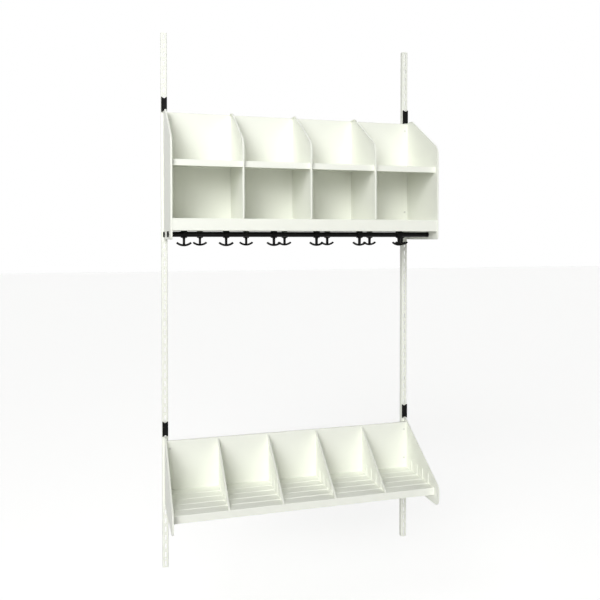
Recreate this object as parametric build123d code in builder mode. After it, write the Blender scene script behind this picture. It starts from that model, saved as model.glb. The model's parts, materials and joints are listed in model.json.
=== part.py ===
"""Wall-hung cloakroom unit for small children, in millimetres.

Two slotted uprights carry a hat unit with eight compartments and a shoe unit with five.
Twelve anchor hooks slide on two tubes below the hat unit.

X runs along the wall to the right, the front faces -Y and Z points up.
The origin is the middle of the wall screw pattern, in the plane of the uprights' front faces.
The uprights are channels, open at the back, whose flanges stand on the wall.
"""

from math import asin, degrees
import os

from build123d import *

# Uprights
upright_height = 1984.0
upright_spacing = 965.0
upright_width = 22.0
upright_depth = 20.0
upright_wall = 1.5
upright_corner = 2.5
slot_pitch = 32.0
slot_width = 5.0
slot_height = 18.0
wall_screw_hole = 5.5

# Sheet metal and fits
sheet = 1.2
skin = 1.5
bend_radius = 2.0
tray_edge = 1.0
fit_gap = 0.3

# Brackets, with teeth that hang in the slots
bracket_thickness = 3.0
bracket_flange = 29.0
tooth_neck = 10.0
tooth_drop = 6.0
tooth_reach = 5.0
tooth_play = 0.5

# Side view of the hat unit
hat_clip_slot = 22
hat_tooth_slots = (20, 14, 8)
hat_height = 468.0
hat_depth = 289.0
hat_crest_depth = 70.0
hat_crest_radius = 20.0
hat_nose_drop = 133.0
hat_nose_radius = 48.0
hat_toe_radius = 10.0

# Shelves and panels of the hat unit
panel_front = 30.0
panel_return = 12.0
hat_panel_drop = 4.0
bottom_shelf_rise = 71.0
bottom_shelf_apron = 41.0
middle_shelf_lip = 21.0
middle_shelf_end = 12.0
hat_columns = 4
divider_flange = 6.0

# Hook tubes and their plugs
tube_radius = 9.0
tube_wall = 1.5
tube_rise = 18.0
rear_tube_depth = 45.0
front_tube_depth = 215.0
plug_head_radius = 10.0
plug_head = 5.5
plug_edge = 2.0
plug_stem = 15.0
plug_gap = 0.2

# Anchor hooks, hanging on a tube at shares of their free run
hook_width = 56.0
hook_drop = 41.4
arm_radius = 38.0
arm_thickness = 5.6
arm_depth = 14.0
collar_radius = 12.5
collar_length = 21.0
stem_width = 7.5
stem_depth = 12.0
gusset_drop = 19.0
hook_end_gap = 1.0
front_hook_places = (0.018, 0.179, 0.368, 0.543, 0.726, 0.900)
rear_hook_places = (0.103, 0.295, 0.460, 0.650, 0.845, 0.998)

# Side view of the shoe unit
shoe_clip_slot = -15
shoe_tooth_slots = (-17, -23)
shoe_height = 252.0
shoe_depth = 305.0
shoe_crest_depth = 20.0
shoe_crest_radius = 12.0
shoe_nose_drop = 180.0
shoe_nose_radius = 25.0
shoe_toe_radius = 26.0

# Floor, panel and dividers of the shoe unit
shoe_panel_drop = 10.0
shoe_floor_rise = 60.0
shoe_floor_lip = 27.0
shoe_floor_front = 272.0
shoe_columns = 5
shoe_divider_drop = 4.0
shoe_divider_inset = 2.0
shoe_divider_nose = 8.0
shoe_divider_nose_radius = 6.0

# Pressed beads in the shoe floor and up the walls
bead_count = 4
bead_pitch = 48.0
bead_width = 10.0
bead_height = 2.5
bead_first_depth = 80.0
bead_climb = 40.0
bead_end_gap = 12.0

# Lock clips
clip_width = 21.0
clip_short_end = 20.0
clip_long_end = 36.0
clip_thickness = 7.0
clip_notch = 6.0
clip_edge = 1.0
prong_width = 4.0
prong_height = 15.0
prong_reach = 5.0

# Panel screws
screw_radius = 2.0
screw_head_radius = 4.0
screw_head = 2.4
screw_head_edge = 1.2
screw_length = 9.0
screw_socket = 1.4
screw_socket_depth = 1.3
screw_top_inset = 28.0
screw_floor_inset = 39.0
thread_gap = 0.1

# Worked out from the sizes above
slot_count = 2 * int(upright_height / slot_pitch / 2)
wall_screw_reach = (slot_count / 2 - 1) * slot_pitch
upright_x = upright_spacing / 2
blade_inner_x = upright_x - bracket_thickness / 2
blade_outer_x = upright_x + bracket_thickness / 2
inner_x = blade_inner_x - skin
outer_x = blade_outer_x + skin
bracket_depth = panel_front - sheet
flange_x = blade_outer_x - bracket_flange / 2
screw_x = blade_inner_x - (bracket_flange - bracket_thickness) / 2


def slot_z(number):
    """Height of a slot's middle. Slots are counted upwards from the uprights' middle."""
    return (number + 0.5) * slot_pitch


def side_plane(x):
    """Plane of a side view at x: forward from the uprights' front face, and up."""
    return Plane(origin=(x, 0, 0), x_dir=(0, -1, 0), z_dir=(-1, 0, 0))


def front_plane(depth):
    """Plane of a front view, at a depth in front of the uprights' front face."""
    return Plane.XZ.offset(depth)


seat = skin + fit_gap
hat_top = slot_z(hat_clip_slot) - clip_short_end - fit_gap
hat_bottom = hat_top - hat_height
hat_nose_z = hat_top - hat_nose_drop
hat_panel_top = hat_top - hat_panel_drop
bottom_shelf_top = hat_bottom + bottom_shelf_rise
middle_shelf_top = (bottom_shelf_top + hat_panel_top) / 2
hat_panel_bottom = bottom_shelf_top - bottom_shelf_apron
hat_shelf_front = hat_depth - sheet - fit_gap
hat_lap_depth = (panel_front + hat_shelf_front) / 2
hat_slope = hat_nose_drop / (hat_depth - hat_crest_depth)
hat_screw_heights = (hat_panel_top - screw_top_inset, bottom_shelf_top + screw_floor_inset)
tube_z = hat_bottom + tube_rise

shoe_top = slot_z(shoe_clip_slot) - clip_long_end - fit_gap
shoe_bottom = shoe_top - shoe_height
shoe_nose_z = shoe_top - shoe_nose_drop
shoe_panel_top = shoe_top - shoe_panel_drop
shoe_floor_top = shoe_bottom + shoe_floor_rise
shoe_panel_bottom = shoe_floor_top - shoe_floor_lip
shoe_screw_heights = (shoe_panel_top - screw_top_inset, shoe_floor_top + screw_floor_inset)
shoe_divider_front = shoe_floor_front - shoe_divider_inset
shoe_divider_top = shoe_panel_top - shoe_divider_drop
shoe_divider_rise = shoe_divider_top - shoe_floor_top - shoe_divider_nose
shoe_divider_slope = shoe_divider_rise / (shoe_divider_front - panel_front)
bead_depths = [bead_first_depth + i * bead_pitch for i in range(bead_count)]

arm_centre_z = arm_radius - hook_drop + arm_thickness / 2
arm_angle = degrees(asin((hook_width - arm_thickness) / 2 / arm_radius))
hook_run = inner_x - hook_width / 2 - hook_end_gap
hat_divider_places = [(2 * i / hat_columns - 1) * inner_x for i in range(1, hat_columns)]
shoe_divider_places = [(2 * i / shoe_columns - 1) * inner_x for i in range(1, shoe_columns)]

os.makedirs("parts", exist_ok=True)


def save(piece, label):
    """Name a finished piece and write its STEP file."""
    piece.part.label = label
    export_step(piece.part, "parts/" + label + ".step")


def outline(corners, radii, inset=0.0):
    """Closed side outline with a radius at each corner, drawn in by an even inset."""
    with BuildSketch() as face:
        with BuildLine():
            FilletPolyline(corners, radius=radii, close=True)
        make_face()
        if inset > 0:
            offset(amount=-inset)
    return face.sketch


def hat_outline(rear, inset):
    """Outline of the hat unit's side, from a rear edge forwards."""
    corners = [
        (rear - inset, hat_top),
        (hat_crest_depth, hat_top),
        (hat_depth, hat_nose_z),
        (hat_depth, hat_bottom),
        (rear - inset, hat_bottom),
    ]
    return outline(corners, (0, hat_crest_radius, hat_nose_radius, hat_toe_radius, 0), inset)


def shoe_outline(rear, inset):
    """Outline of the shoe unit's side, from a rear edge forwards."""
    corners = [
        (rear - inset, shoe_top),
        (shoe_crest_depth, shoe_top),
        (shoe_depth, shoe_nose_z),
        (shoe_depth, shoe_bottom),
        (rear - inset, shoe_bottom),
    ]
    return outline(corners, (0, shoe_crest_radius, shoe_nose_radius, shoe_toe_radius, 0), inset)


def hat_divider_outline(margin, inset):
    """Outline of a hat divider, its rear and bottom edges moved out by a margin."""
    rear = panel_front - margin
    low = bottom_shelf_top - margin
    corners = [
        (rear, hat_panel_top),
        (hat_crest_depth + hat_panel_drop / hat_slope, hat_panel_top),
        (hat_depth, hat_nose_z),
        (hat_depth, low),
        (rear, low),
    ]
    return outline(corners, (0, hat_crest_radius, hat_nose_radius, 0, 0), inset)


def shoe_divider_outline(margin, inset):
    """Outline of a shoe divider, its rear and bottom edges moved out by a margin."""
    rear = panel_front - margin
    low = shoe_floor_top - margin
    corners = [
        (rear, shoe_divider_top + shoe_divider_slope * margin),
        (shoe_divider_front, shoe_floor_top + shoe_divider_nose),
        (shoe_divider_front, low),
        (rear, low),
    ]
    return outline(corners, (0, shoe_divider_nose_radius, 0, 0), inset)


def cut_to(profile, rear, front, low, high):
    """Part of a side outline that lies between two depths and between two heights."""
    with BuildSketch() as kept:
        add(profile)
        with Locations((rear, low)):
            Rectangle(front - rear, high - low, align=Align.MIN, mode=Mode.INTERSECT)
    return kept.sketch


def strip_between(outer, inner):
    """Strip of sheet between two outlines."""
    with BuildSketch() as strip:
        add(outer)
        add(inner, mode=Mode.SUBTRACT)
    return strip.sketch


# Uprights: slotted channels, open at the back
def channel_section(inset):
    """Section of an upright, or of the room in it, set in from its sides and front, back edge at zero."""
    with BuildSketch() as section:
        Rectangle(upright_width - 2 * inset, upright_depth - inset, align=(Align.CENTER, Align.MAX))
        fillet(section.vertices().group_by(Axis.Y)[0], upright_corner - inset)
    return section.sketch


def make_upright(label, side):
    with BuildPart() as upright:
        with BuildSketch(Plane.XY.offset(-upright_height / 2)):
            with Locations((side * upright_x, upright_depth)):
                add(channel_section(0))
                add(channel_section(upright_wall), mode=Mode.SUBTRACT)
        extrude(amount=upright_height)
        with BuildSketch(front_plane(0)):
            with Locations((side * upright_x, 0)):
                with GridLocations(upright_width, slot_pitch, 1, slot_count):
                    Rectangle(slot_width, slot_height)
                with GridLocations(upright_width, wall_screw_reach, 1, 3):
                    Circle(wall_screw_hole / 2)
        extrude(amount=-2 * upright_wall, mode=Mode.SUBTRACT)
    save(upright, label)


# Side cassettes: an outer tray, and an inner skin that closes it
def make_side_tray(label, side, tray_outline, pocket_outline, tube_depths):
    with BuildPart() as tray:
        with BuildSketch(side_plane(side * upright_x)):
            add(tray_outline)
        extrude(amount=outer_x - upright_x, both=True)
        outer_face = tray.faces().sort_by(Axis.X)[-1 if side > 0 else 0]
        chamfer(outer_face.edges().sort_by(Axis.Y)[:-1], tray_edge)
        with BuildSketch(side_plane(side * (upright_x - skin / 2))):
            add(pocket_outline)
        extrude(amount=(outer_x - inner_x - skin) / 2, both=True, mode=Mode.SUBTRACT)
        if tube_depths:
            with BuildSketch(side_plane(side * upright_x)):
                with Locations([(depth, tube_z) for depth in tube_depths]):
                    Circle(tube_radius + fit_gap)
            extrude(amount=outer_x - inner_x, both=True, mode=Mode.SUBTRACT)
    save(tray, label)


def make_side_skin(label, side, skin_outline, tube_depths, bead_places):
    with BuildPart() as side_skin:
        with BuildSketch(side_plane(side * (inner_x + skin / 2))):
            add(skin_outline)
            if tube_depths:
                with Locations([(depth, tube_z) for depth in tube_depths]):
                    Circle(tube_radius + fit_gap, mode=Mode.SUBTRACT)
        extrude(amount=skin / 2, both=True)
        for depth in bead_places:
            with BuildSketch(Plane.XY.offset(shoe_floor_top)):
                with Locations((side * inner_x, -depth)):
                    add(bead, rotation=90)
            extrude(amount=bead_climb)
    save(side_skin, label)


# Brackets: an L-section whose hooked teeth hang in the slots of an upright
def make_bracket(label, side, blade, panel_low, panel_high, tooth_slots, screw_heights):
    with BuildPart() as bracket:
        with BuildSketch(side_plane(side * upright_x)):
            add(blade)
            for number in tooth_slots:
                sill = slot_z(number) - slot_height / 2
                back = -upright_wall - tooth_play
                with BuildLine():
                    Polyline(
                        (0, sill),
                        (back, sill),
                        (back, sill - tooth_drop),
                        (back - tooth_reach, sill),
                        (back - tooth_reach, sill + tooth_neck),
                        (0, sill + tooth_neck),
                        close=True,
                    )
                make_face()
        extrude(amount=bracket_thickness / 2, both=True)
        flange_low = panel_low + sheet + fit_gap
        flange_high = panel_high - sheet - fit_gap
        with BuildSketch(front_plane(bracket_depth - bracket_thickness)):
            with Locations((side * flange_x, (flange_low + flange_high) / 2)):
                Rectangle(bracket_flange, flange_high - flange_low)
        extrude(amount=bracket_thickness)
        with BuildSketch(front_plane(0)):
            with Locations([(side * screw_x, z) for z in screw_heights]):
                Circle(screw_radius + thread_gap)
        extrude(amount=bracket_depth, mode=Mode.SUBTRACT)
    save(bracket, label)


# Back panels: a sheet with its top and bottom edges turned back towards the wall
def make_back_panel(label, low, high, screw_heights):
    with BuildPart() as panel:
        with BuildSketch(side_plane(0)):
            with Locations((panel_front - panel_return, low)):
                Rectangle(panel_return, high - low, align=Align.MIN)
            fillet(vertices().group_by(Axis.X)[-1], bend_radius)
            with Locations((panel_front - panel_return - sheet, low + sheet)):
                Rectangle(panel_return, high - low - 2 * sheet, align=Align.MIN, mode=Mode.SUBTRACT)
        extrude(amount=blade_inner_x, both=True)
        with BuildSketch(front_plane(panel_front)):
            with Locations([(side * screw_x, z) for side in (-1, 1) for z in screw_heights]):
                Circle(screw_radius + fit_gap)
        extrude(amount=-2 * sheet, mode=Mode.SUBTRACT)
    save(panel, label)


# Shelves: a sheet with its front edge and both ends turned down
def make_shelf(label, top, front, lip, end, notch_places, bead_spans):
    middle = (panel_front + front) / 2
    with BuildPart() as shelf:
        with BuildSketch(side_plane(0)):
            with Locations((panel_front, top - lip)):
                Rectangle(front - panel_front, lip, align=Align.MIN)
            fillet(vertices().group_by(Axis.X)[-1].sort_by(Axis.Y)[-1], bend_radius)
            with Locations((panel_front, top - lip)):
                Rectangle(front - panel_front - sheet, lip - sheet, align=Align.MIN, mode=Mode.SUBTRACT)
        extrude(amount=inner_x, both=True)
        for side in (-1, 1):
            with BuildSketch(side_plane(side * (inner_x - sheet / 2))):
                with Locations((panel_front, top - end)):
                    Rectangle(front - panel_front - sheet, end - sheet / 2, align=Align.MIN)
            extrude(amount=sheet / 2, both=True)
        for x in notch_places:
            with BuildSketch(side_plane(x)):
                with Locations((middle, top - lip - fit_gap)):
                    Rectangle(front - middle + fit_gap, lip + 2 * fit_gap, align=Align.MIN)
            extrude(amount=sheet / 2 + fit_gap, both=True, mode=Mode.SUBTRACT)
        for start, end_x in bead_spans:
            with BuildSketch(side_plane((start + end_x) / 2)):
                with Locations([(depth, top) for depth in bead_depths]):
                    add(bead)
            extrude(amount=(end_x - start) / 2, both=True)
    save(shelf, label)


# Dividers: a sheet with its front and top edges turned to the left
def make_divider(label, x, face, edge, notch_z, bead_places):
    with BuildPart() as divider:
        with BuildSketch(side_plane(x)):
            add(face)
            if notch_z is not None:
                with Locations((panel_front, notch_z - sheet - fit_gap)):
                    notch = (hat_lap_depth + fit_gap - panel_front, sheet + 2 * fit_gap)
                    Rectangle(*notch, align=Align.MIN, mode=Mode.SUBTRACT)
        extrude(amount=sheet / 2, both=True)
        with BuildSketch(side_plane(x - (divider_flange - sheet) / 2)):
            add(edge)
        extrude(amount=divider_flange / 2, both=True)
        for depth in bead_places:
            rise = shoe_divider_top - shoe_divider_slope * (depth + bead_width / 2 - panel_front)
            with BuildSketch(Plane.XY.offset(shoe_floor_top)):
                with Locations((x - sheet / 2, -depth)):
                    add(bead, rotation=90)
            extrude(amount=min(bead_climb, rise - shoe_floor_top - bead_height))
    save(divider, label)


# Hook tubes and their end plugs
def make_hook_tube(label, depth):
    with BuildPart() as tube:
        with BuildSketch(side_plane(0)):
            with Locations((depth, tube_z)):
                Circle(tube_radius)
                Circle(tube_radius - tube_wall, mode=Mode.SUBTRACT)
        extrude(amount=outer_x, both=True)
    save(tube, label)


def make_tube_plug(label, side, depth):
    end = (side * outer_x, -depth, tube_z)
    stem_radius = tube_radius - tube_wall - plug_gap
    with BuildPart() as plug:
        with BuildSketch(Plane(origin=end, x_dir=(side, 0, 0), z_dir=(0, -side, 0))):
            Rectangle(plug_head, plug_head_radius, align=Align.MIN)
            chamfer(vertices().group_by(Axis.X)[-1].sort_by(Axis.Y)[-1], plug_edge)
            with Locations((-plug_stem, 0)):
                Rectangle(plug_stem, stem_radius, align=Align.MIN)
        revolve(axis=Axis(end, (side, 0, 0)))
    save(plug, label)


# Anchor hooks: a collar on the tube, a stem and two curved arms
def make_hook(label, x, depth):
    arm_line = CenterArc((0, arm_centre_z), arm_radius, -90 - arm_angle, 2 * arm_angle)
    hook_front = Plane(origin=(x, -depth, tube_z), x_dir=(1, 0, 0), z_dir=(0, -1, 0))
    shoulder = (collar_length / 2, -collar_radius / 2)
    waist = (stem_width / 2, -gusset_drop)
    foot = -hook_drop + arm_thickness / 2
    with BuildPart() as hook:
        with BuildSketch(hook_front):
            SlotArc(arm_line, arm_thickness)
        extrude(amount=arm_depth / 2, both=True)
        with BuildSketch(hook_front):
            with BuildLine():
                Line((0, shoulder[1]), shoulder)
                RadiusArc(shoulder, waist, gusset_drop)
                Line(waist, (waist[0], foot))
                Line((waist[0], foot), (0, foot))
                mirror(about=Plane.YZ)
            make_face()
        extrude(amount=stem_depth / 2, both=True)
        with BuildSketch(side_plane(x)):
            with Locations((depth, tube_z)):
                Circle(collar_radius)
        extrude(amount=collar_length / 2, both=True)
        with BuildSketch(side_plane(x)):
            with Locations((depth, tube_z)):
                Circle(tube_radius + fit_gap)
        extrude(amount=collar_length, both=True, mode=Mode.SUBTRACT)
    save(hook, label)


# Lock clips: a notched plate with a prong that fills a slot above a bracket
def make_lock_clip(label, side, prong_z, reach_down, reach_up):
    with BuildPart() as clip:
        with BuildSketch(front_plane(fit_gap)):
            with Locations((side * upright_x, prong_z)):
                Polygon(
                    (-clip_width / 2, -reach_down),
                    (0, clip_notch - reach_down),
                    (clip_width / 2, -reach_down),
                    (clip_width / 2, reach_up),
                    (0, reach_up - clip_notch),
                    (-clip_width / 2, reach_up),
                    align=None,
                )
        extrude(amount=clip_thickness - fit_gap)
        fillet(clip.faces().sort_by(Axis.Y)[0].edges(), clip_edge)
        with BuildSketch(front_plane(fit_gap)):
            with Locations((side * upright_x, prong_z)):
                Rectangle(prong_width, prong_height)
        extrude(amount=-fit_gap - upright_wall - prong_reach)
        chamfer(clip.faces().sort_by(Axis.Y)[-1].edges(), clip_edge)
    save(clip, label)


# Panel screws: pan heads with a hexagon socket, joined in one group for each unit
def make_screws(label, screw_heights):
    places = [(side * screw_x, z) for side in (-1, 1) for z in screw_heights]
    with BuildPart() as screws:
        with BuildSketch(front_plane(panel_front)):
            with Locations(places):
                Circle(screw_head_radius)
        extrude(amount=screw_head)
        chamfer(screws.faces().group_by(Axis.Y)[0].edges(), screw_head_edge)
        with BuildSketch(front_plane(panel_front + screw_head)):
            with Locations(places):
                RegularPolygon(screw_socket, side_count=6)
        extrude(amount=-screw_socket_depth, mode=Mode.SUBTRACT)
        with BuildSketch(front_plane(panel_front)):
            with Locations(places):
                Circle(screw_radius)
        extrude(amount=-screw_length)
    save(screws, label)


# Outlines that several pieces share
hat_side = hat_outline(0, 0)
hat_pocket = hat_outline(-skin, skin)
hat_inside = hat_outline(0, seat)
hat_skin = cut_to(hat_inside, panel_front, hat_depth, hat_bottom, hat_top)
hat_blade = cut_to(hat_inside, 0, bracket_depth, hat_bottom, hat_top)

shoe_side = shoe_outline(0, 0)
shoe_pocket = shoe_outline(-skin, skin)
shoe_inside = shoe_outline(0, seat)
shoe_skin = cut_to(shoe_inside, panel_front, shoe_depth, shoe_bottom, shoe_top)
shoe_blade = cut_to(shoe_inside, 0, bracket_depth, shoe_bottom, shoe_top)

hat_face = hat_divider_outline(0, 0)
hat_ring = strip_between(hat_divider_outline(panel_front, 0), hat_divider_outline(panel_front, sheet))
hat_edge = cut_to(hat_ring, panel_front, hat_depth, bottom_shelf_top, hat_top)
shoe_face = shoe_divider_outline(0, 0)
shoe_ring = strip_between(shoe_divider_outline(panel_front, 0), shoe_divider_outline(panel_front, sheet))
shoe_edge = cut_to(shoe_ring, panel_front, shoe_depth, shoe_floor_top, shoe_top)

with BuildSketch() as bead_section:
    with BuildLine():
        ThreePointArc((-bead_width / 2, 0), (0, bead_height), (bead_width / 2, 0))
        Polyline((bead_width / 2, 0), (bead_width / 2, -sheet / 2), (-bead_width / 2, -sheet / 2), (-bead_width / 2, 0))
    make_face()
bead = bead_section.sketch

# Pieces that come in a left and a right
tube_depths = (rear_tube_depth, front_tube_depth)
for side, name in ((-1, "left"), (1, "right")):
    make_upright("upright_" + name, side)
    make_side_tray("hat_side_" + name, side, hat_side, hat_pocket, tube_depths)
    make_side_skin("hat_side_skin_" + name, side, hat_skin, tube_depths, ())
    make_bracket(
        "hat_bracket_" + name, side, hat_blade,
        hat_panel_bottom, hat_panel_top, hat_tooth_slots, hat_screw_heights,
    )
    make_side_tray("shoe_side_" + name, side, shoe_side, shoe_pocket, ())
    make_side_skin("shoe_side_skin_" + name, side, shoe_skin, (), bead_depths if side > 0 else ())
    make_bracket(
        "shoe_bracket_" + name, side, shoe_blade,
        shoe_panel_bottom, shoe_panel_top, shoe_tooth_slots, shoe_screw_heights,
    )
    make_tube_plug("rear_tube_plug_" + name, side, rear_tube_depth)
    make_tube_plug("front_tube_plug_" + name, side, front_tube_depth)
    make_lock_clip("lock_clip_hat_" + name, side, slot_z(hat_clip_slot), clip_short_end, clip_long_end)
    make_lock_clip("lock_clip_shoe_" + name, side, slot_z(shoe_clip_slot), clip_long_end, clip_short_end)

# Panels, shelves and screws
make_back_panel("hat_back_panel", hat_panel_bottom, hat_panel_top, hat_screw_heights)
make_back_panel("shoe_back_panel", shoe_panel_bottom, shoe_panel_top, shoe_screw_heights)
make_shelf(
    "hat_middle_shelf", middle_shelf_top, hat_shelf_front, middle_shelf_lip, middle_shelf_end,
    hat_divider_places, (),
)
make_shelf(
    "hat_bottom_shelf", bottom_shelf_top, hat_shelf_front, bottom_shelf_apron, bottom_shelf_apron, (), (),
)
shoe_walls = [-inner_x - sheet / 2, *shoe_divider_places, inner_x + sheet / 2]
bead_spans = [
    (left + sheet / 2 + bead_end_gap, right - sheet / 2 - bead_height)
    for left, right in zip(shoe_walls[:-1], shoe_walls[1:])
]
make_shelf(
    "shoe_floor", shoe_floor_top, shoe_floor_front, shoe_floor_lip, shoe_floor_lip, (), bead_spans,
)
make_screws("hat_screws", hat_screw_heights)
make_screws("shoe_screws", shoe_screw_heights)

# Dividers
for number, x in enumerate(hat_divider_places, 1):
    make_divider("hat_divider_" + str(number), x, hat_face, hat_edge, middle_shelf_top, ())
for number, x in enumerate(shoe_divider_places, 1):
    make_divider("shoe_divider_" + str(number), x, shoe_face, shoe_edge, None, bead_depths)

# Tubes and the hooks that slide on them
for row, depth, places in (
    ("front", front_tube_depth, front_hook_places),
    ("rear", rear_tube_depth, rear_hook_places),
):
    make_hook_tube(row + "_hook_tube", depth)
    for number, place in enumerate(places, 1):
        make_hook("hook_" + row + "_" + str(number), (2 * place - 1) * hook_run, depth)
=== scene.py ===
"""Looks of a wall-hung cloakroom unit for small children, in metres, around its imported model."""

import json
from math import asin, cos, pi, radians, sin

import bmesh
import bpy
from mathutils import Matrix, Vector

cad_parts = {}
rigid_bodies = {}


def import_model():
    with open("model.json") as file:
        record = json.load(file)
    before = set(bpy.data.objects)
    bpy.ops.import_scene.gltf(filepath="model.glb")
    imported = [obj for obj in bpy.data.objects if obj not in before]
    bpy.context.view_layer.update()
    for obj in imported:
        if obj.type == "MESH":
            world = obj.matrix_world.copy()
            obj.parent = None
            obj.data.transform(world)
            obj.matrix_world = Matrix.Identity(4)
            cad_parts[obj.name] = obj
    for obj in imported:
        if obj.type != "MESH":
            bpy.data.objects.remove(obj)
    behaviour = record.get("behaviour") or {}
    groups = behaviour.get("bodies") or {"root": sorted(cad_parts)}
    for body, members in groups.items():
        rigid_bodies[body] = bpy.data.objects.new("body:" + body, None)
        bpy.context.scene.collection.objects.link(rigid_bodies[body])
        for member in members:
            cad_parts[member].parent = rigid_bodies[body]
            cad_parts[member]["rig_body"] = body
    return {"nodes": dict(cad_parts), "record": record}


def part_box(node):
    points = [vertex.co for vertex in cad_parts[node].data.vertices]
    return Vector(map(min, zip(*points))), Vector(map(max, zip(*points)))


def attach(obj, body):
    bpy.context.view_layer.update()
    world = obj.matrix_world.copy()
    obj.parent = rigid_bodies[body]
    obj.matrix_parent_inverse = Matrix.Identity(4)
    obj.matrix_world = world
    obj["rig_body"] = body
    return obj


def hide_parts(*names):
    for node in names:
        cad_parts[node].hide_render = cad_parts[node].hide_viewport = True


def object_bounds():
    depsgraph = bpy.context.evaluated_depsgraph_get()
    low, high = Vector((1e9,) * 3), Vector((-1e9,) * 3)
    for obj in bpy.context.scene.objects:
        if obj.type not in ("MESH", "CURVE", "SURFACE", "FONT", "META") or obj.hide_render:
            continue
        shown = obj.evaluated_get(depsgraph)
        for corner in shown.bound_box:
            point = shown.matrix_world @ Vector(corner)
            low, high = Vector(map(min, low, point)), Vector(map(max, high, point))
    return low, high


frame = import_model()
cad_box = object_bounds()

# Colours of the finishes, as red, green and blue from 0 to 255
coat_white = (247, 249, 240)
coat_white_worn = (242, 244, 233)
tube_black = (9, 9, 9)
tube_black_worn = (17, 17, 16)
nylon_black = (7, 7, 7)
nylon_black_dusty = (15, 15, 15)
zinc_bright = (232, 233, 226)
zinc_dull = (212, 214, 207)
floor_pale = (236, 236, 234)

# Plain shader colours
white = (1.0, 1.0, 1.0, 1.0)
floor_clouded = (0.8, 0.8, 0.8, 1.0)

# Camera, as it stood when the photograph was taken
camera_place = (-0.6826, -2.5347, 0.2356)
camera_tilt = (88.894, 0.0, -15.874)
camera_lens = 40.46
camera_sensor = 36.0
camera_shift = -0.0810

# Wide far lamps, each with where its light comes from, its spread and its strength
key_from = (-0.42, -1.0, 0.40)
key_spread = 34.0
key_strength = 0.82
left_from = (-0.75, -1.0, 0.35)
left_spread = 34.0
left_strength = 1.04
top_from = (-0.2, -0.35, 1.0)
top_spread = 50.0
top_strength = 0.25
back_from = (0.8, 1.0, 0.6)
back_spread = 60.0
back_strength = 1.2

# Near lamps, each with its place, aim, size and power in watts
upper_place = (-1.2, -1.6, 1.5)
upper_aim = (-0.3, -0.15, 0.5)
upper_size = 0.8
upper_power = 9.7
front_place = (-0.8, -2.6, 0.6)
front_aim = (0.0, -0.15, -0.3)
front_size = 1.2
front_power = 8.8
room_light = 0.03

# Floor, a little below the feet of the uprights
floor_drop = 0.35
floor_size = 60.0
floor_glow = 0.58

# Anchor hooks
hook_width = 0.056
hook_drop = 0.0414
arm_radius = 0.0371
arm_thickness = 0.0074
arm_depth = 0.0136
collar_radius = 0.0125
collar_bore = 0.0096
collar_length = 0.021
stem_width = 0.0076
stem_depth = 0.0116
gusset_drop = 0.019
gusset_steps = ((0.0045, 1.10), (0.0045, 1.32), (0.0045, 1.55))
hook_grain = 0.0008
hook_smoothing = 0.5
hook_smoothing_rounds = 4
arm_sides = 24
arm_steps = 32

# Hook tubes and the plugs in their ends
tube_wall = 0.0015
tube_edge = 0.0004
tube_sides = 96
plug_overhang = 0.001
plug_rim = 0.0032
plug_dish = 0.0006
plug_stem = 0.015
plug_gap = 0.0002

# Middle shelf of the hat unit: a thin folded sheet, its lip standing back between the dividers
shelf_sheet = 0.0012
shelf_lip = 0.021
shelf_end = 0.012
lip_set_back = 0.016
fold_radius = 0.0014
divider_slot = 0.0018

# Lock clips
clip_notch = 0.006
clip_plate = 0.0067
clip_edge = 0.0011
clip_rim = 0.0028
clip_dish = 0.0009
clip_short_end = 0.020
clip_long_end = 0.036
prong_width = 0.004
prong_height = 0.015
prong_edge = 0.001

# Panel screws
screw_head_radius = 0.004
screw_head = 0.0024
screw_edge = 0.0011
screw_shank_radius = 0.002
screw_tip = 0.0012
socket_radius = 0.0014
socket_depth = 0.0013
tip_share = 0.4
socket_sides = 6
screw_head_sides = 48
screw_shank_sides = 32

# How finely round forms are cut, where an edge counts as sharp, and how square a face stands to an axis
round_sides = 64
smooth_below = 35.0
sharp_above = 60.0
clip_sharp_above = 40.0
facing = 0.9
same_point = 0.00001


def linear(colour):
    """A colour given from 0 to 255, as the shaders take it."""
    shares = [part / 255 for part in colour]
    curved = [part / 12.92 if part <= 0.04045 else ((part + 0.055) / 1.055) ** 2.4 for part in shares]
    return (*curved, 1.0)


class Wire:
    """A value in a finish. A sum on it, written in Python, adds a Math node."""

    def __init__(self, finish, socket):
        self.finish = finish
        self.socket = socket

    def sum(self, operation, first, second):
        return self.finish.node("ShaderNodeMath", {"operation": operation}, {0: first, 1: second})

    def __add__(self, other):
        return self.sum("ADD", self, other)

    def __radd__(self, other):
        return self.sum("ADD", other, self)

    def __sub__(self, other):
        return self.sum("SUBTRACT", self, other)

    def __rsub__(self, other):
        return self.sum("SUBTRACT", other, self)

    def __mul__(self, other):
        return self.sum("MULTIPLY", self, other)

    def __rmul__(self, other):
        return self.sum("MULTIPLY", other, self)


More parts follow.
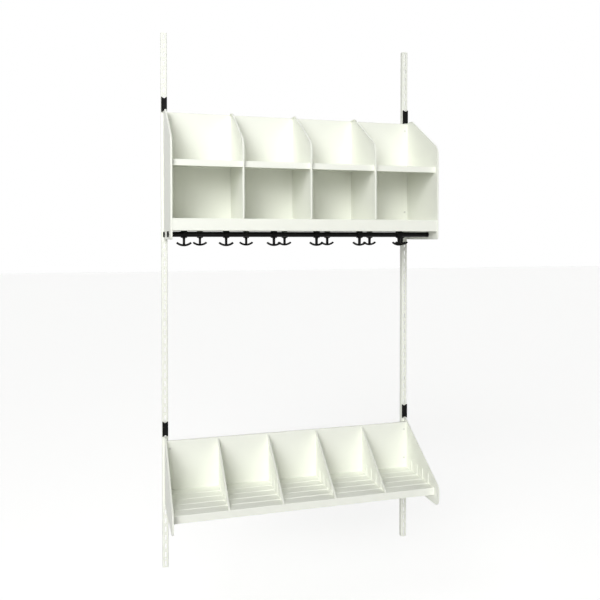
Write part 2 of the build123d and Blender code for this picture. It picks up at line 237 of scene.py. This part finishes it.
class Finish:
    """The nodes of one finish."""

    def __init__(self, owner):
        owner.use_nodes = True
        self.owner = owner
        self.tree = owner.node_tree
        self.tree.nodes.clear()

    def node(self, kind, settings=None, sockets=None, output=0):
        """Adds a node: its settings first, then the values or links of its sockets."""
        added = self.tree.nodes.new(kind)
        for name, value in (settings or {}).items():
            if name == "stops":
                for stop, (place, colour) in zip(added.color_ramp.elements, value):
                    stop.position = place
                    stop.color = colour
            else:
                setattr(added, name, value)
        for name, value in (sockets or {}).items():
            if isinstance(value, Wire):
                self.tree.links.new(value.socket, added.inputs[name])
            else:
                added.inputs[name].default_value = value
        return Wire(self, added.outputs[output]) if added.outputs else None

    def spot(self):
        """Where a point lies on the object, in metres."""
        return self.node("ShaderNodeTexCoord", output="Object")

    def noise(self, scale, seed, detail=3.0, rough=0.5, stretch=(1.0, 1.0, 1.0)):
        """Seeded noise of about 0 to 1. The scale is in waves to the metre."""
        place = self.node("ShaderNodeMapping", None, {"Vector": self.spot(), "Scale": stretch})
        return self.node(
            "ShaderNodeTexNoise",
            {"noise_dimensions": "4D"},
            {"Vector": place, "W": seed, "Scale": scale, "Detail": detail, "Roughness": rough},
        )

    def mix(self, share, first, second):
        """Two colours, blended by a share."""
        return self.node(
            "ShaderNodeMix",
            {"data_type": "RGBA"},
            {"Factor": share, 6: first, 7: second},
            output=2,
        )

    def between(self, value, low, high):
        """A value spread from 0 at low to 1 at high."""
        return self.node(
            "ShaderNodeMapRange",
            {"clamp": True},
            {"Value": value, "From Min": low, "From Max": high},
        )

    def dent(self, height, depth, strength):
        """The surface's direction once a height is pressed into it."""
        sockets = {"Height": height, "Distance": depth, "Strength": strength}
        return self.node("ShaderNodeBump", None, sockets)

    def surface(self, **sockets):
        """The finished surface, from the sockets of the main shader."""
        named = {name.replace("_", " "): value for name, value in sockets.items()}
        shader = self.node("ShaderNodeBsdfPrincipled", None, named)
        self.node("ShaderNodeOutputMaterial", None, {"Surface": shader})
        return self.owner


def powder_coat_white():
    """Off-white powder coat: a fine orange peel, slightly cloudy, with a trace of handling."""
    finish = Finish(bpy.data.materials.new("powder_coat_white"))
    cloud = finish.noise(5.0, seed=1.7)
    handling = finish.between(finish.noise(38.0, seed=4.1, detail=5.0), 0.58, 0.78)
    speck = finish.noise(900.0, seed=7.3, detail=1.0)
    peel = finish.noise(520.0, seed=2.9, detail=2.0)
    tint = finish.mix(0.5 * cloud + 0.25 * speck, linear(coat_white), linear(coat_white_worn))
    colour = finish.mix(0.35 * handling, tint, linear(coat_white_worn))
    return finish.surface(
        Base_Color=colour,
        Roughness=0.40 + 0.10 * peel + 0.08 * handling,
        Normal=finish.dent(peel, 0.00015, 0.35),
        Specular_IOR_Level=0.4,
    )


def tube_enamel_black():
    """Black stoved enamel on drawn steel tube, with the faint draw lines along it."""
    finish = Finish(bpy.data.materials.new("tube_enamel_black"))
    drawn = finish.noise(600.0, seed=3.3, detail=2.0, stretch=(0.04, 1.0, 1.0))
    rub = finish.between(finish.noise(60.0, seed=8.2, detail=4.0), 0.55, 0.8)
    return finish.surface(
        Base_Color=finish.mix(0.5 * rub, linear(tube_black), linear(tube_black_worn)),
        Roughness=0.34 + 0.14 * drawn + 0.10 * rub,
        Normal=finish.dent(drawn, 0.0001, 0.4),
        Specular_IOR_Level=0.12,
    )


def moulded_nylon_black():
    """Black moulded nylon with a fine spark-eroded grain."""
    finish = Finish(bpy.data.materials.new("moulded_nylon_black"))
    grain = finish.noise(1500.0, seed=5.9, detail=2.0)
    dust = finish.between(finish.noise(90.0, seed=6.4, detail=4.0), 0.5, 0.85)
    return finish.surface(
        Base_Color=finish.mix(0.6 * dust, linear(nylon_black), linear(nylon_black_dusty)),
        Roughness=0.48 + 0.16 * grain,
        Normal=finish.dent(grain, 0.0001, 0.5),
        Specular_IOR_Level=0.12,
    )


def zinc_flake_pale():
    """Pale zinc-flake coat on small screws."""
    finish = Finish(bpy.data.materials.new("zinc_flake_pale"))
    turned = finish.noise(1800.0, seed=9.6, detail=2.0, stretch=(1.0, 0.1, 1.0))
    bloom = finish.noise(240.0, seed=1.1, detail=3.0)
    return finish.surface(
        Base_Color=finish.mix(bloom, linear(zinc_bright), linear(zinc_dull)),
        Roughness=0.28 + 0.2 * turned,
        Metallic=0.35,
        Normal=finish.dent(turned, 0.00005, 0.4),
    )


def floor_paint():
    """Pale floor. It is white to the camera where it is lit, and keeps the shadow."""
    finish = Finish(bpy.data.materials.new("floor_paint"))
    cloud = finish.noise(0.8, seed=2.2)
    paint = finish.node(
        "ShaderNodeBsdfDiffuse",
        None,
        {"Color": finish.mix(0.3 * cloud, linear(floor_pale), floor_clouded)},
    )
    glow = finish.node(
        "ShaderNodeEmission",
        None,
        {"Color": white, "Strength": floor_glow * seen(finish)},
    )
    both = finish.node("ShaderNodeAddShader", None, {0: paint, 1: glow})
    finish.node("ShaderNodeOutputMaterial", None, {"Surface": both})
    return finish.owner


def seen(finish):
    """1 for what the camera sees straight, in a mirror or through glass, and 0 for lighting."""
    straight = finish.node("ShaderNodeLightPath", output="Is Camera Ray")
    mirrored = finish.node("ShaderNodeLightPath", output="Is Glossy Ray")
    through = finish.node("ShaderNodeLightPath", output="Is Transmission Ray")
    return finish.node("ShaderNodeClamp", None, {"Value": straight + mirrored + through})


def hang_world():
    """White all round to the eye, and a weaker white as light in the room."""
    world = bpy.data.worlds.new("studio")
    finish = Finish(world)
    share = seen(finish)
    strength = share + room_light * (1 - share)
    light = finish.node("ShaderNodeBackground", None, {"Color": white, "Strength": strength})
    finish.node("ShaderNodeOutputWorld", None, {"Surface": light})
    bpy.context.scene.world = world


def hang_far_lamp(name, light_from, spread, strength):
    """A wide soft lamp, far off in one direction."""
    turn = Vector(light_from).to_track_quat("Z", "Y").to_euler()
    bpy.ops.object.light_add(type="SUN", location=light_from, rotation=turn)
    lamp = bpy.context.object
    lamp.name = name
    lamp.data.angle = radians(spread)
    lamp.data.energy = strength


def hang_near_lamp(name, place, aim, size, power):
    """A square soft lamp at a place, turned to its aim."""
    turn = (Vector(aim) - Vector(place)).to_track_quat("-Z", "Y").to_euler()
    bpy.ops.object.light_add(type="AREA", location=place, rotation=turn)
    lamp = bpy.context.object
    lamp.name = name
    lamp.data.size = size
    lamp.data.energy = power


def lay_floor():
    """The floor under the unit."""
    feet = cad_box[0][2]
    bpy.ops.mesh.primitive_plane_add(size=floor_size, location=(0, 0, feet - floor_drop))
    floor = bpy.context.object
    floor.name = "floor"
    floor.data.materials.append(floor_paint())


def stand_camera():
    """The camera of the photograph."""
    bpy.ops.object.camera_add(
        location=camera_place,
        rotation=[radians(angle) for angle in camera_tilt],
    )
    camera = bpy.context.object
    camera.data.sensor_width = camera_sensor
    camera.data.lens = camera_lens
    camera.data.shift_y = camera_shift
    bpy.context.scene.camera = camera


def finish_nodes():
    """Each node of the model gets the finish of its material slot."""
    finishes = {
        "white_steel": powder_coat_white(),
        "black_tube": tube_enamel_black(),
        "black_plastic": moulded_nylon_black(),
        "screw_steel": zinc_flake_pale(),
    }
    for row in frame["record"]["subparts"]:
        for place in frame["nodes"][row["node"]].material_slots:
            place.material = finishes[row["material_slot"]]
    return finishes


def begin(name, add_primitive, scale=(1, 1, 1), **shape):
    """A new piece, started from a primitive at its place, selected all over and open for editing."""
    bpy.ops.object.select_all(action="DESELECT")
    add_primitive(**shape)
    piece = bpy.context.object
    piece.name = name
    piece.scale = scale
    bpy.ops.object.transform_apply(location=True, rotation=True, scale=True)
    bpy.ops.object.mode_set(mode="EDIT")
    bpy.ops.mesh.select_all(action="SELECT")
    return piece


def pick(piece, kind, wanted):
    """Selects the faces, edges or vertices that pass a test."""
    bpy.ops.mesh.select_mode(type=kind)
    bpy.ops.mesh.select_all(action="DESELECT")
    mesh = bmesh.from_edit_mesh(piece.data)
    for part in {"FACE": mesh.faces, "EDGE": mesh.edges, "VERT": mesh.verts}[kind]:
        if wanted(part):
            part.select_set(True)
    mesh.select_flush_mode()
    bmesh.update_edit_mesh(piece.data)


def middle(part):
    """Middle of an edge or a face."""
    return sum((corner.co for corner in part.verts), Vector()) / len(part.verts)


def push(x, y, z):
    """Draws the selected faces out by a distance."""
    bpy.ops.mesh.extrude_region_move(TRANSFORM_OT_translate={"value": (x, y, z)})


def close_up(piece):
    """Turns the faces outwards and leaves edit mode."""
    bpy.ops.mesh.select_all(action="SELECT")
    bpy.ops.mesh.remove_doubles(threshold=same_point)
    bpy.ops.mesh.normals_make_consistent(inside=False)
    bpy.ops.object.mode_set(mode="OBJECT")
    return piece


def choose(*pieces):
    """Selects pieces, the first one active."""
    bpy.ops.object.select_all(action="DESELECT")
    for piece in pieces:
        piece.select_set(True)
    bpy.context.view_layer.objects.active = pieces[0]


def work(piece, kind, **settings):
    """Puts a modifier on a piece and applies it."""
    choose(piece)
    bpy.ops.object.modifier_add(type=kind)
    modifier = piece.modifiers[-1]
    for name, value in settings.items():
        setattr(modifier, name, value)
    bpy.ops.object.modifier_apply(modifier=modifier.name)


def round_edges(piece, width, segments, sharp=sharp_above):
    """Rounds the sharp edges of a piece."""
    work(piece, "BEVEL", width=width, segments=segments, limit_method="ANGLE", angle_limit=radians(sharp))


def shade(piece):
    """Smooth shading, but for the sharp edges."""
    choose(piece)
    bpy.ops.object.shade_smooth_by_angle(angle=radians(smooth_below))


def join(name, *pieces):
    """Several pieces made one."""
    choose(*pieces)
    bpy.ops.object.join()
    pieces[0].name = name
    return pieces[0]


def copied(piece, name, place):
    """A copy of a piece at a place, with its own mesh."""
    twin = piece.copy()
    twin.name = name
    twin.data = piece.data.copy()
    twin.data.transform(Matrix.Translation(place))
    bpy.context.scene.collection.objects.link(twin)
    return twin


def fit(piece, node, slot):
    """Lets a piece stand for a node of the model, on the same body and in the same finish."""
    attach(piece, frame["nodes"][node]["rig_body"])
    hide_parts(node)
    piece.data.materials.clear()
    piece.data.materials.append(finishes[slot])


def make_anchor_hook():
    """An anchor hook, hanging from a tube whose axis is the X axis."""
    centre = arm_radius + arm_thickness / 2 - hook_drop
    reach = asin((hook_width - arm_thickness) / 2 / arm_radius)
    arms = begin(
        "anchor_hook",
        bpy.ops.mesh.primitive_circle_add,
        vertices=arm_sides,
        radius=1,
        fill_type="NGON",
        location=(-arm_radius * sin(reach), 0, centre - arm_radius * cos(reach)),
        rotation=(0, pi / 2 + reach, 0),
        scale=(arm_thickness / 2, arm_depth / 2, 1),
    )
    bpy.ops.mesh.spin(steps=arm_steps, angle=2 * reach, center=(0, 0, centre), axis=(0, 1, 0))
    close_up(arms)

    foot = arm_thickness / 2 - hook_drop
    stem = begin(
        "stem",
        bpy.ops.mesh.primitive_plane_add,
        size=1,
        location=(0, 0, foot),
        scale=(stem_width, stem_depth, 1),
    )
    for rise, spread in ((-gusset_drop - foot, 1.0), *gusset_steps):
        push(0, 0, rise)
        bpy.ops.transform.resize(value=(spread, 1, 1))
    close_up(stem)

    collar = begin(
        "collar",
        bpy.ops.mesh.primitive_cylinder_add,
        vertices=round_sides,
        radius=collar_radius,
        depth=collar_length,
        rotation=(0, pi / 2, 0),
    )
    pick(collar, "FACE", lambda face: abs(face.normal.x) > facing)
    bpy.ops.mesh.inset(thickness=collar_radius - collar_bore)
    bpy.ops.mesh.bridge_edge_loops()
    close_up(collar)

    hook = join("anchor_hook", arms, stem, collar)
    work(hook, "REMESH", mode="VOXEL", voxel_size=hook_grain, use_smooth_shade=True)
    work(hook, "SMOOTH", factor=hook_smoothing, iterations=hook_smoothing_rounds)
    choose(hook)
    bpy.ops.object.shade_smooth()
    return hook


def hang_hooks():
    """The twelve hooks, each in place of its node."""
    pattern = make_anchor_hook()
    for row in ("front", "rear"):
        for number in range(1, 7):
            node = f"hook_{row}_{number}"
            low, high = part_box(node)
            place = ((low.x + high.x) / 2, (low.y + high.y) / 2, high.z - collar_radius)
            fit(copied(pattern, f"anchor_{node}", place), node, "black_plastic")
    bpy.data.objects.remove(pattern)


def draw_tubes():
    """The two hook tubes, hollow, with their cut ends just broken."""
    for row in ("front", "rear"):
        node = f"{row}_hook_tube"
        low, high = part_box(node)
        tube = begin(
            f"drawn_{node}",
            bpy.ops.mesh.primitive_cylinder_add,
            vertices=tube_sides,
            radius=(high.z - low.z) / 2,
            depth=high.x - low.x,
            location=(low + high) / 2,
            rotation=(0, pi / 2, 0),
        )
        pick(tube, "FACE", lambda face: abs(face.normal.x) > facing)
        bpy.ops.mesh.inset(thickness=tube_wall)
        bpy.ops.mesh.bridge_edge_loops()
        close_up(tube)
        round_edges(tube, tube_edge, 2)
        shade(tube)
        fit(tube, node, "black_tube")


def fit_plugs():
    """The plugs in the ends of the tubes: a rounded rim round a shallow dish, and a stem inside."""
    for row in ("front", "rear"):
        for side, outward in (("left", -1), ("right", 1)):
            node = f"{row}_tube_plug_{side}"
            low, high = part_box(node)
            radius = (high.z - low.z) / 2
            head = high.x - low.x - plug_stem
            outer = high.x if outward > 0 else low.x
            plug = begin(
                f"moulded_{node}",
                bpy.ops.mesh.primitive_cylinder_add,
                vertices=round_sides,
                radius=radius,
                depth=head,
                location=(outer - outward * head / 2, (low.y + high.y) / 2, (low.z + high.z) / 2),
                rotation=(0, pi / 2, 0),
            )
            pick(plug, "FACE", lambda face: face.normal.x * outward < -facing)
            bpy.ops.mesh.inset(thickness=plug_overhang + tube_wall + plug_gap)
            push(-outward * plug_stem, 0, 0)
            pick(plug, "FACE", lambda face: face.normal.x * outward > facing)
            bpy.ops.mesh.inset(thickness=plug_rim)
            push(-outward * plug_dish, 0, 0)
            close_up(plug)
            round_edges(plug, plug_dish / 2, 2)
            shade(plug)
            fit(plug, node, "black_plastic")


def make_prong(place, reach):
    """The prong behind a lock clip, narrowed at its end. The place is the middle of its root."""
    prong = begin(
        "prong",
        bpy.ops.mesh.primitive_cube_add,
        size=1,
        location=place + Vector((0, (reach - prong_edge) / 2, 0)),
        scale=(prong_width, reach - prong_edge, prong_height),
    )
    pick(prong, "FACE", lambda face: face.normal.y > facing)
    push(0, prong_edge, 0)
    narrowed = (1 - 2 * prong_edge / prong_width, 1, 1 - 2 * prong_edge / prong_height)
    bpy.ops.transform.resize(value=narrowed)
    return close_up(prong)


def fit_lock_clips():
    """The four lock clips: a notched plate with a raised rim, and its prong."""
    for unit, prong_rise in (("hat", clip_short_end), ("shoe", clip_long_end)):
        for side in ("left", "right"):
            node = f"lock_clip_{unit}_{side}"
            low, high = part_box(node)
            centre = (low + high) / 2
            root = low.y + clip_plate
            plate = begin(
                f"notched_{node}",
                bpy.ops.mesh.primitive_plane_add,
                size=1,
                location=(centre.x, root, centre.z),
                rotation=(pi / 2, 0, 0),
                scale=(high.x - low.x, high.z - low.z, 1),
            )
            bpy.ops.mesh.subdivide(number_cuts=1)
            for end in (-1, 1):
                pick(
                    plate,
                    "VERT",
                    lambda corner: abs(corner.co.x - centre.x) < clip_edge
                    and (corner.co.z - centre.z) * end > clip_notch,
                )
                bpy.ops.transform.translate(value=(0, 0, -end * clip_notch))
            bpy.ops.mesh.select_mode(type="FACE")
            bpy.ops.mesh.select_all(action="SELECT")
            push(0, -clip_plate, 0)
            bpy.ops.mesh.inset(thickness=clip_rim)
            push(0, clip_dish, 0)
            close_up(plate)
            round_edges(plate, clip_edge, 3, clip_sharp_above)
            prong = make_prong(Vector((centre.x, root, low.z + prong_rise)), high.y - root)
            clip = join(plate.name, plate, prong)
            shade(clip)
            fit(clip, node, "black_plastic")


def make_panel_screw(length):
    """A pan head screw with a hexagon socket, its head towards the front and its seat at the origin."""
    head = begin(
        "panel_screw",
        bpy.ops.mesh.primitive_cylinder_add,
        vertices=screw_head_sides,
        radius=screw_head_radius,
        depth=screw_head,
        location=(0, -screw_head / 2, 0),
        rotation=(pi / 2, 0, 0),
    )
    close_up(head)
    round_edges(head, screw_edge, 5)
    key = begin(
        "key",
        bpy.ops.mesh.primitive_cylinder_add,
        vertices=socket_sides,
        radius=socket_radius,
        depth=2 * socket_depth,
        location=(0, -screw_head, 0),
        rotation=(pi / 2, 0, 0),
    )
    close_up(key)
    work(head, "BOOLEAN", operation="DIFFERENCE", object=key)
    bpy.data.objects.remove(key)
    shank = begin(
        "shank",
        bpy.ops.mesh.primitive_cylinder_add,
        vertices=screw_shank_sides,
        radius=screw_shank_radius,
        depth=length - screw_tip,
        location=(0, (length - screw_tip) / 2, 0),
        rotation=(pi / 2, 0, 0),
    )
    pick(shank, "FACE", lambda face: face.normal.y > facing)
    push(0, screw_tip, 0)
    bpy.ops.transform.resize(value=(tip_share, 1, tip_share))
    close_up(shank)
    screw = join("panel_screw", head, shank)
    shade(screw)
    return screw


def drive_panel_screws():
    """The screws of the back panels, in one group for each unit."""
    for unit in ("hat", "shoe"):
        node = f"{unit}_screws"
        low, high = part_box(node)
        seat = low.y + screw_head
        pattern = make_panel_screw(high.y - seat)
        places = [
            (x, seat, z)
            for x in (low.x + screw_head_radius, high.x - screw_head_radius)
            for z in (low.z + screw_head_radius, high.z - screw_head_radius)
        ]
        screws = [copied(pattern, f"screw_{number}", place) for number, place in enumerate(places)]
        bpy.data.objects.remove(pattern)
        fit(join(f"turned_{node}", *screws), node, "screw_steel")


def fold_middle_shelf():
    """The middle shelf of the hat unit. Its lip stands back from the front edges of the dividers."""
    node = "hat_middle_shelf"
    low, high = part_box(node)
    half = shelf_sheet / 2
    front = low.y + lip_set_back + half
    top = high.z - half
    shelf = begin(
        f"folded_{node}",
        bpy.ops.mesh.primitive_plane_add,
        size=1,
        location=(0, (front + high.y) / 2, top),
        scale=(high.x - low.x, high.y - front, 1),
    )
    pick(shelf, "EDGE", lambda edge: middle(edge).y < front + half)
    bpy.ops.mesh.extrude_edges_move(TRANSFORM_OT_translate={"value": (0, 0, half - shelf_lip)})
    close_up(shelf)
    round_edges(shelf, fold_radius, 4)
    work(shelf, "SOLIDIFY", thickness=shelf_sheet, offset=0, use_even_offset=True)
    for end in (-1, 1):
        flange = begin(
            "flange",
            bpy.ops.mesh.primitive_cube_add,
            size=1,
            location=(
                end * (high.x - half),
                (front + high.y) / 2 + half,
                high.z - (shelf_end + half) / 2,
            ),
            scale=(shelf_sheet, high.y - front - shelf_sheet, shelf_end - half),
        )
        close_up(flange)
        shelf = join(shelf.name, shelf, flange)
    for number in (1, 2, 3):
        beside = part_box(f"hat_divider_{number}")[1].x
        slot = begin(
            "slot",
            bpy.ops.mesh.primitive_cube_add,
            size=1,
            location=(beside - half, front, high.z),
            scale=(divider_slot, high.y - low.y, 2 * shelf_lip + 2 * shelf_sheet),
        )
        close_up(slot)
        work(shelf, "BOOLEAN", operation="DIFFERENCE", object=slot, solver="EXACT")
        bpy.data.objects.remove(slot)
    shade(shelf)
    fit(shelf, node, "white_steel")


bpy.ops.object.select_all(action="DESELECT")
finishes = finish_nodes()
hang_hooks()
draw_tubes()
fit_plugs()
fit_lock_clips()
drive_panel_screws()
fold_middle_shelf()
hang_world()
hang_far_lamp("key_lamp", key_from, key_spread, key_strength)
hang_far_lamp("left_lamp", left_from, left_spread, left_strength)
hang_far_lamp("top_lamp", top_from, top_spread, top_strength)
hang_far_lamp("back_lamp", back_from, back_spread, back_strength)
hang_near_lamp("upper_lamp", upper_place, upper_aim, upper_size, upper_power)
hang_near_lamp("front_lamp", front_place, front_aim, front_size, front_power)
lay_floor()
stand_camera()
bpy.context.scene.view_settings.view_transform = "Standard"
